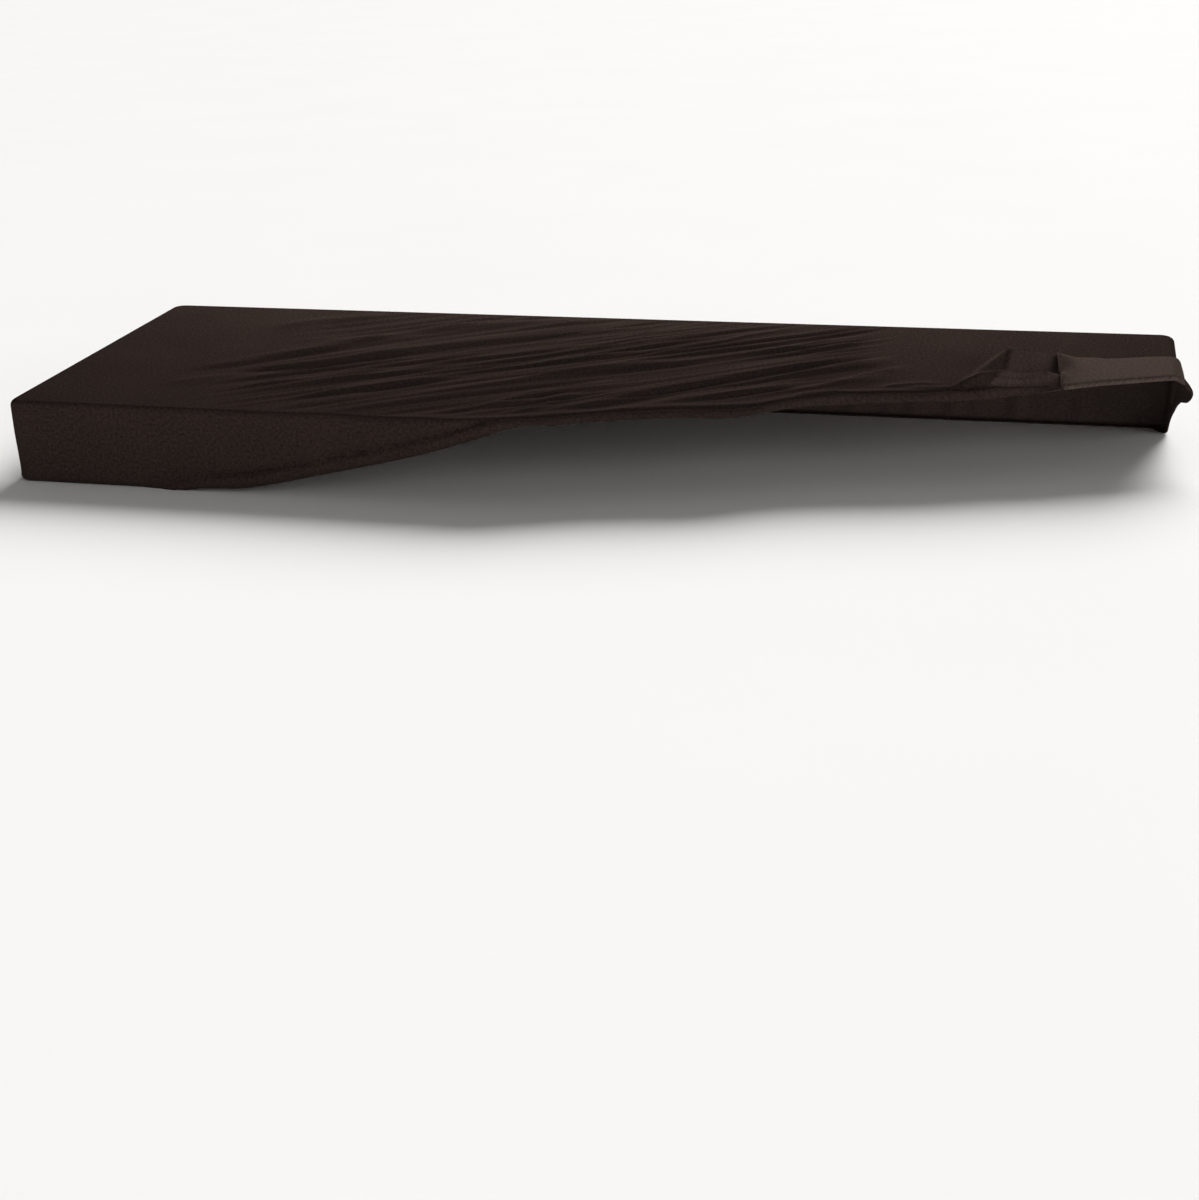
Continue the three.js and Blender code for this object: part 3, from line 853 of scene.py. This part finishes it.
def knit(name, face, wrong_side_and_light, loop):
    """Polyester stretch knit, quite matt, in a dark and a light colour, and in two lighter ones where it
    shows its wrong side, which also paint light onto the hem's roll and the raised corner's right facet. Its
    loops break the light into a fine speckle, painted into the colour as painted shade between them. They are
    drawn about twice as coarse as they are, so that they show."""
    material, tree, shader = new_material(name)
    flat = add_node(tree, "ShaderNodeUVMap", uv_map=FLAT_MAP).outputs["UV"]
    shows_wrong_side_and_light = add_node(tree, "ShaderNodeAttribute", attribute_name=WRONG_SIDE_AND_LIGHT).outputs["Fac"]
    dark, light = (
        add_node(
            tree,
            COLOR_MIX,
            {"Factor": shows_wrong_side_and_light, FIRST_COLOR: (*laid, 1), SECOND_COLOR: (*turned, 1)},
            data_type="RGBA",
        ).outputs[MIXED_COLOR]
        for laid, turned in zip(face, wrong_side_and_light)
    )
    loops = knit_loops(tree, flat, *loop)
    fine = {"Vector": flat, "Scale": 1 / (2.6 * MM), "Detail": 3.0, "Roughness": 0.65}
    speckle = add_node(tree, "ShaderNodeTexNoise", fine).outputs["Fac"]
    broad = {"Vector": flat, "Scale": 1 / (90 * MM), "Detail": 2.0}
    patches = add_node(tree, "ShaderNodeTexNoise", broad).outputs["Fac"]
    grain = add_node(tree, MATH, {0: speckle, 1: 1.9, 2: -0.6}, operation="MULTIPLY_ADD").outputs[0]
    tone = add_node(tree, MATH, {0: patches, 1: 0.35, 2: grain}, operation="MULTIPLY_ADD").outputs[0]
    # Painted shade: the colour is lighter on the loops and the speckle and darker between them, in step with
    # the bump, besides the yarn's uneven tone
    shade = add_node(tree, MATH, {0: loops, 1: 0.26, 2: tone}, operation="MULTIPLY_ADD").outputs[0]
    colors = {"Factor": shade, FIRST_COLOR: dark, SECOND_COLOR: light}
    color = add_node(tree, COLOR_MIX, colors, data_type="RGBA").outputs[MIXED_COLOR]
    height = add_node(tree, MATH, {0: speckle, 1: 1.2, 2: loops}, operation="MULTIPLY_ADD").outputs[0]
    bump = add_node(tree, "ShaderNodeBump", {"Height": height, "Strength": 0.15, "Distance": 0.25 * MM})
    tree.links.new(color, shader.inputs["Base Color"])
    tree.links.new(bump.outputs["Normal"], shader.inputs["Normal"])
    shader.inputs["Roughness"].default_value = 0.88
    shader.inputs["Specular IOR Level"].default_value = 0.0
    return material


def thread_material(color):
    """Spun polyester sewing thread: a little glossier than the knit, with its twist as fine slanting ridges.
    The twist is drawn coarser than it is, so that it shows."""
    material, tree, shader = new_material("polyester_thread")
    place = add_node(tree, "ShaderNodeTexCoord").outputs["Object"]
    ridges = {"Vector": place, "Scale": 1 / (4.0 * MM), "Distortion": 1.5}
    twist = add_node(tree, "ShaderNodeTexWave", ridges, bands_direction="DIAGONAL").outputs["Fac"]
    # Painted shade: darker in the twist's grooves and lighter on its ridges, in step with its bump
    dark, light = ((*[c * share for c in color], 1) for share in (0.7, 1.25))
    colors = {"Factor": twist, FIRST_COLOR: dark, SECOND_COLOR: light}
    tint = add_node(tree, COLOR_MIX, colors, data_type="RGBA").outputs[MIXED_COLOR]
    bump = add_node(tree, "ShaderNodeBump", {"Height": twist, "Strength": 0.4, "Distance": 0.1 * MM})
    tree.links.new(tint, shader.inputs["Base Color"])
    tree.links.new(bump.outputs["Normal"], shader.inputs["Normal"])
    shader.inputs["Roughness"].default_value = 0.7
    shader.inputs["Specular IOR Level"].default_value = 0.1
    return material


def floor_material(color):
    """Pale matt floor with a faint cloudy tone."""
    material, tree, shader = new_material("pale_floor")
    place = add_node(tree, "ShaderNodeTexCoord").outputs["Object"]
    broad = {"Vector": place, "Scale": 3.0, "Detail": 2.0}
    clouds = add_node(tree, "ShaderNodeTexNoise", broad).outputs["Fac"]
    light, dark = ((*[c * share for c in color], 1) for share in (1, 0.97))
    colors = {"Factor": clouds, FIRST_COLOR: light, SECOND_COLOR: dark}
    tint = add_node(tree, COLOR_MIX, colors, data_type="RGBA").outputs[MIXED_COLOR]
    tree.links.new(tint, shader.inputs["Base Color"])
    shader.inputs["Roughness"].default_value = 0.9
    shader.inputs["Specular IOR Level"].default_value = 0.1
    return material


class DustCoverSettings(PropertyGroup):
    """Sizes and colours of the cover."""

    thickness: FloatProperty(
        name="Cloth thickness", description="Thickness of the knit", default=1.2 * MM, unit="LENGTH"
    )
    fold_height: FloatProperty(
        name="Fold height", description="Share of the broad folds' full height", default=0.4, subtype="FACTOR"
    )
    crease_height: FloatProperty(
        name="Crease height", description="Share of the creases' full height", default=0.7, subtype="FACTOR"
    )
    stitch_pitch: FloatProperty(
        name="Stitch pitch", description="From one stitch to the next", default=4.2 * MM, unit="LENGTH"
    )
    stitch_length: FloatProperty(
        name="Stitch length", description="Thread that shows of each stitch", default=3.0 * MM, unit="LENGTH"
    )
    stitch_width: FloatProperty(
        name="Thread width", description="Width of the sewing thread", default=0.6 * MM, unit="LENGTH"
    )
    # Each dark colour is partly painted shade between the loops, each light colour partly painted light on
    # them
    knit_dark: FloatVectorProperty(
        name="Knit, dark", description="Between the loops", default=linear("#1a1412"), size=3, subtype="COLOR"
    )
    knit_light: FloatVectorProperty(
        name="Knit, light", description="On the loops", default=linear("#3f3430"), size=3, subtype="COLOR"
    )
    wrong_dark: FloatVectorProperty(
        name="Wrong side, dark",
        description="Between the wrong side's loops",
        default=linear("#3a302c"),
        size=3,
        subtype="COLOR",
    )
    wrong_light: FloatVectorProperty(
        name="Wrong side, light",
        description="On the wrong side's loops",
        default=linear("#5c4e49"),
        size=3,
        subtype="COLOR",
    )
    thread: FloatVectorProperty(
        name="Thread", description="Sewing thread", default=linear("#1e1714"), size=3, subtype="COLOR"
    )


class StageSettings(PropertyGroup):
    """Floor and light of the studio."""

    floor: FloatVectorProperty(
        name="Floor", description="Pale floor", default=linear("#f4f3f1"), size=3, subtype="COLOR"
    )
    daylight: FloatProperty(name="Room light", description="Light from all round", default=0.16)
    horizon: FloatProperty(
        name="Horizon", description="Light of the pale band where the room meets the floor", default=0.92
    )
    key_power: FloatProperty(
        name="Key light", description="Low strip light close behind the cover", default=39, subtype="POWER"
    )
    floor_power: FloatProperty(
        name="Floor light", description="Soft light from behind, on the floor alone", default=4.3
    )
    fill_power: FloatProperty(name="Fill light", description="Soft light from the front right", default=1.15)


def seam_frames(points, across, pitch):
    """Places, directions and normals of stitches at a pitch along a line of points on the cloth."""
    steps = np.linalg.norm(np.diff(points, axis=0), axis=1)
    travelled = np.concatenate([[0], np.cumsum(steps)])
    at = np.arange(pitch / 2, travelled[-1], pitch)
    place = np.stack([np.interp(at, travelled, points[:, i]) for i in range(3)], axis=-1)
    side = np.stack([np.interp(at, travelled, across[:, i]) for i in range(3)], axis=-1)
    run = np.gradient(place, axis=0)
    run /= np.linalg.norm(run, axis=1, keepdims=True)
    normal = np.cross(run, side)
    normal /= np.linalg.norm(normal, axis=1, keepdims=True)
    return place, run, np.cross(normal, run), normal


def front_seam():
    """The casing's line of stitches across the front, from the left corner to where the hem curls up."""
    x = np.linspace(CORNER_INSET - FLAT_X, CURL_START - 12, 500)
    back = front_line(x) + CASING
    points = cloth_point(x, back)
    return points, cloth_point(x, back + 1) - points


def wall_seam():
    """The same line round the right end, the back and the left end."""
    x, back, outward = ring_point(np.arange(2, len(WALL_RING)))
    start = cloth_point(x, back)
    hem = wall_hem(start, back, outward)
    seam = hem - CASING
    lift = wall_lift(x, back, outward, seam, hem)
    points = edge_point(start, outward, seam, lift)
    return points, edge_point(start, outward, seam - 1, lift) - points


class DUSTCOVER_OT_hem_stitching(Operator):
    """Sew the row of stitches that closes the hem's casing"""

    bl_idname = "dustcover.hem_stitching"
    bl_label = "Hem stitching"

    def execute(self, context):
        cover = context.scene.dust_cover
        deselect_all()
        bpy.ops.mesh.primitive_uv_sphere_add(segments=8, ring_count=5, radius=1)
        stitch = context.object
        size = np.array([cover.stitch_length, cover.stitch_width, cover.stitch_width])
        shape = np.array([v.co for v in stitch.data.vertices])[:, [2, 0, 1]] * size / 2
        faces = sorted(list(p.vertices) for p in stitch.data.polygons)  # the same order each run
        points, polygons = [], []
        for seam in (front_seam(), wall_seam()):
            for place, run, side, normal in zip(*seam_frames(*seam, cover.stitch_pitch / MM)):
                first = len(points)
                middle = (place + 0.1 * normal) * MM
                points.extend(middle + shape @ np.stack([run, side, normal]))
                polygons.extend([first + i for i in face] for face in faces)
        mesh = bpy.data.meshes.new("hem_stitching")
        mesh.from_pydata(points, [], polygons)
        bpy.data.meshes.remove(stitch.data)
        stitching = bpy.data.objects.new("hem_stitching", mesh)
        context.collection.objects.link(stitching)
        deselect_all()
        stitching.select_set(True)
        context.view_layer.objects.active = stitching
        bpy.ops.object.shade_smooth()
        mesh.materials.append(thread_material(cover.thread))
        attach(stitching, "root")
        return {"FINISHED"}


class DUSTCOVER_OT_knit_cover(Operator):
    """Lay the knit over its form, with its folds, creases, turned-back corner and hem"""

    bl_idname = "dustcover.knit_cover"
    bl_label = "Knit cover"

    def execute(self, context):
        cover = context.scene.dust_cover
        deselect_all()
        panels = [
            add_panel(LAST_COLUMN, LAST_ROW, top_panel),
            add_panel(len(FRONT_COLUMNS) - 1, SKIRT_ROWS, front_panel),
            add_panel(len(WALL_RING) - 1, SKIRT_ROWS, walls_panel),
        ]
        for panel in panels:
            panel.select_set(True)
        context.view_layer.objects.active = panels[0]
        bpy.ops.object.join()
        cloth = context.object
        cloth.name = cloth.data.name = "knit_cover"
        bpy.ops.object.mode_set(mode="EDIT")
        bpy.ops.mesh.select_all(action="SELECT")
        bpy.ops.mesh.remove_doubles(threshold=0.02 * MM)
        bpy.ops.object.mode_set(mode="OBJECT")
        right_side = (cover.knit_dark, cover.knit_light)
        wrong_side = (cover.wrong_dark, cover.wrong_light)
        cloth.data.materials.append(knit("stretch_knit", right_side, wrong_side, RIGHT_SIDE_LOOP))
        cloth.data.materials.append(knit("knit_wrong_side", wrong_side, wrong_side, WRONG_SIDE_LOOP))
        sides = cloth.modifiers.new("sides", "SOLIDIFY")
        sides.thickness = cover.thickness
        sides.offset = -1
        sides.material_offset = 1
        bpy.ops.object.modifier_apply(modifier=sides.name)
        bpy.ops.object.shade_smooth_by_angle(angle=math.radians(70))
        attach(cloth, "root")
        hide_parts("cover")
        return {"FINISHED"}


# The photograph's camera: where it stands, in millimetres, and its axes
CAMERA_PLACE = (421.3, -1633.2, 423.4)
CAMERA_RIGHT = (0.96938, 0.24425, -0.02535)
CAMERA_DOWN = (0.06597, -0.35849, -0.93120)
CAMERA_FORWARD = (-0.23654, 0.90101, -0.36363)
PHOTO_HEIGHT = 1200  # pixels
FOCAL_LENGTH = 1823.7  # pixels
SENSOR = 36.0

# The lights: where they stand, in metres, and how wide they are
KEY_PLACE = (-0.05, 1.05, 0.27)
KEY_LENGTH, KEY_WIDTH = 1.4, 0.25
FLOOR_LIGHT_FROM = (0.2, 0.8, 0.6)
FLOOR_LIGHT_SPREAD = 40  # degrees
FILL_FROM = (1.0, -0.75, 0.22)
FILL_SPREAD = 50  # degrees
HORIZON_LOW, HORIZON_HIGH = 0.05, 0.16  # where the pale band fades out, as the height of a view upwards


def add_camera(scene):
    data = bpy.data.cameras.new("camera")
    data.sensor_width = SENSOR
    data.lens = FOCAL_LENGTH * SENSOR / PHOTO_HEIGHT
    camera = bpy.data.objects.new("camera", data)
    scene.collection.objects.link(camera)
    axes = Matrix((CAMERA_RIGHT, -Vector(CAMERA_DOWN), -Vector(CAMERA_FORWARD))).transposed().to_4x4()
    axes.translation = Vector(CAMERA_PLACE) * MM
    camera.matrix_world = axes
    scene.camera = camera


def add_light(name, kind, place, power, **settings):
    """A light that shines from a place towards the origin."""
    bpy.ops.object.light_add(type=kind, location=place)
    light = bpy.context.object
    light.name = name
    light.data.energy = power
    for setting, value in settings.items():
        setattr(light.data, setting, value)
    light.rotation_euler = Vector(place).to_track_quat("Z", "Y").to_euler()
    return light


def light_only(light, pieces):
    """Let a light fall on some pieces alone."""
    lit = bpy.data.collections.new(light.name)
    for piece in pieces:
        lit.objects.link(piece)
    light.light_linking.receiver_collection = lit


def add_room_light(scene, daylight, horizon):
    """Light from all round, with a pale band above the floor's far edge."""
    world = bpy.data.worlds.new("room_light")
    world.use_nodes = True
    tree = world.node_tree
    way = add_node(tree, "ShaderNodeTexCoord").outputs["Generated"]
    height = add_node(tree, "ShaderNodeSeparateXYZ", {0: way}).outputs["Z"]
    sky = {
        "Value": height,
        "From Min": HORIZON_LOW,
        "From Max": HORIZON_HIGH,
        "To Min": horizon,
        "To Max": daylight,
    }
    strength = add_node(tree, "ShaderNodeMapRange", sky, interpolation_type="SMOOTHSTEP").outputs[0]
    background = tree.nodes["Background"]
    background.inputs["Color"].default_value = (1, 1, 1, 1)
    tree.links.new(strength, background.inputs["Strength"])
    scene.world = world


class DUSTCOVER_OT_stage(Operator):
    """Set the pale floor, the soft lights and the camera"""

    bl_idname = "dustcover.stage"
    bl_label = "Stage"

    def execute(self, context):
        stage = context.scene.dust_cover_stage
        deselect_all()
        bpy.ops.mesh.primitive_plane_add(size=40, location=(0, 0, (BOTTOM - 0.1) * MM))
        floor = context.object
        floor.name = "floor"
        floor.data.materials.append(floor_material(stage.floor))
        strip = {"shape": "RECTANGLE", "size": KEY_LENGTH, "size_y": KEY_WIDTH}
        key = add_light("key_light", "AREA", KEY_PLACE, stage.key_power, **strip)
        key.visible_camera = False
        light_only(key, [bpy.data.objects[name] for name in ("knit_cover", "hem_stitching")])
        spread = math.radians(FLOOR_LIGHT_SPREAD)
        above = add_light("floor_light", "SUN", FLOOR_LIGHT_FROM, stage.floor_power, angle=spread)
        light_only(above, [floor])
        add_light("fill_light", "SUN", FILL_FROM, stage.fill_power, angle=math.radians(FILL_SPREAD))
        add_room_light(context.scene, stage.daylight, stage.horizon)
        context.scene.view_settings.view_transform = "Standard"
        add_camera(context.scene)
        return {"FINISHED"}


class DUSTCOVER_PT_panel(Panel):
    """The cover's sizes and colours, and the steps that make it"""

    bl_label = "Dust cover"
    bl_space_type = "VIEW_3D"
    bl_region_type = "UI"
    bl_category = "Dust cover"

    def draw(self, context):
        for settings in (context.scene.dust_cover, context.scene.dust_cover_stage):
            box = self.layout.box()
            for name in settings.__annotations__:
                box.prop(settings, name)
        for operator in STEPS:
            self.layout.operator(operator.bl_idname)


STEPS = (DUSTCOVER_OT_hem_stitching, DUSTCOVER_OT_knit_cover, DUSTCOVER_OT_stage)
CLASSES = (DustCoverSettings, StageSettings, *STEPS, DUSTCOVER_PT_panel)


def register():
    for cls in CLASSES:
        bpy.utils.register_class(cls)
    bpy.types.Scene.dust_cover = PointerProperty(type=DustCoverSettings)
    bpy.types.Scene.dust_cover_stage = PointerProperty(type=StageSettings)


def unregister():
    del bpy.types.Scene.dust_cover_stage
    del bpy.types.Scene.dust_cover
    for cls in reversed(CLASSES):
        bpy.utils.unregister_class(cls)


def main():
    register()
    bpy.ops.dustcover.hem_stitching()
    bpy.ops.dustcover.knit_cover()
    bpy.ops.dustcover.stage()


if __name__ == "__main__":
    main()
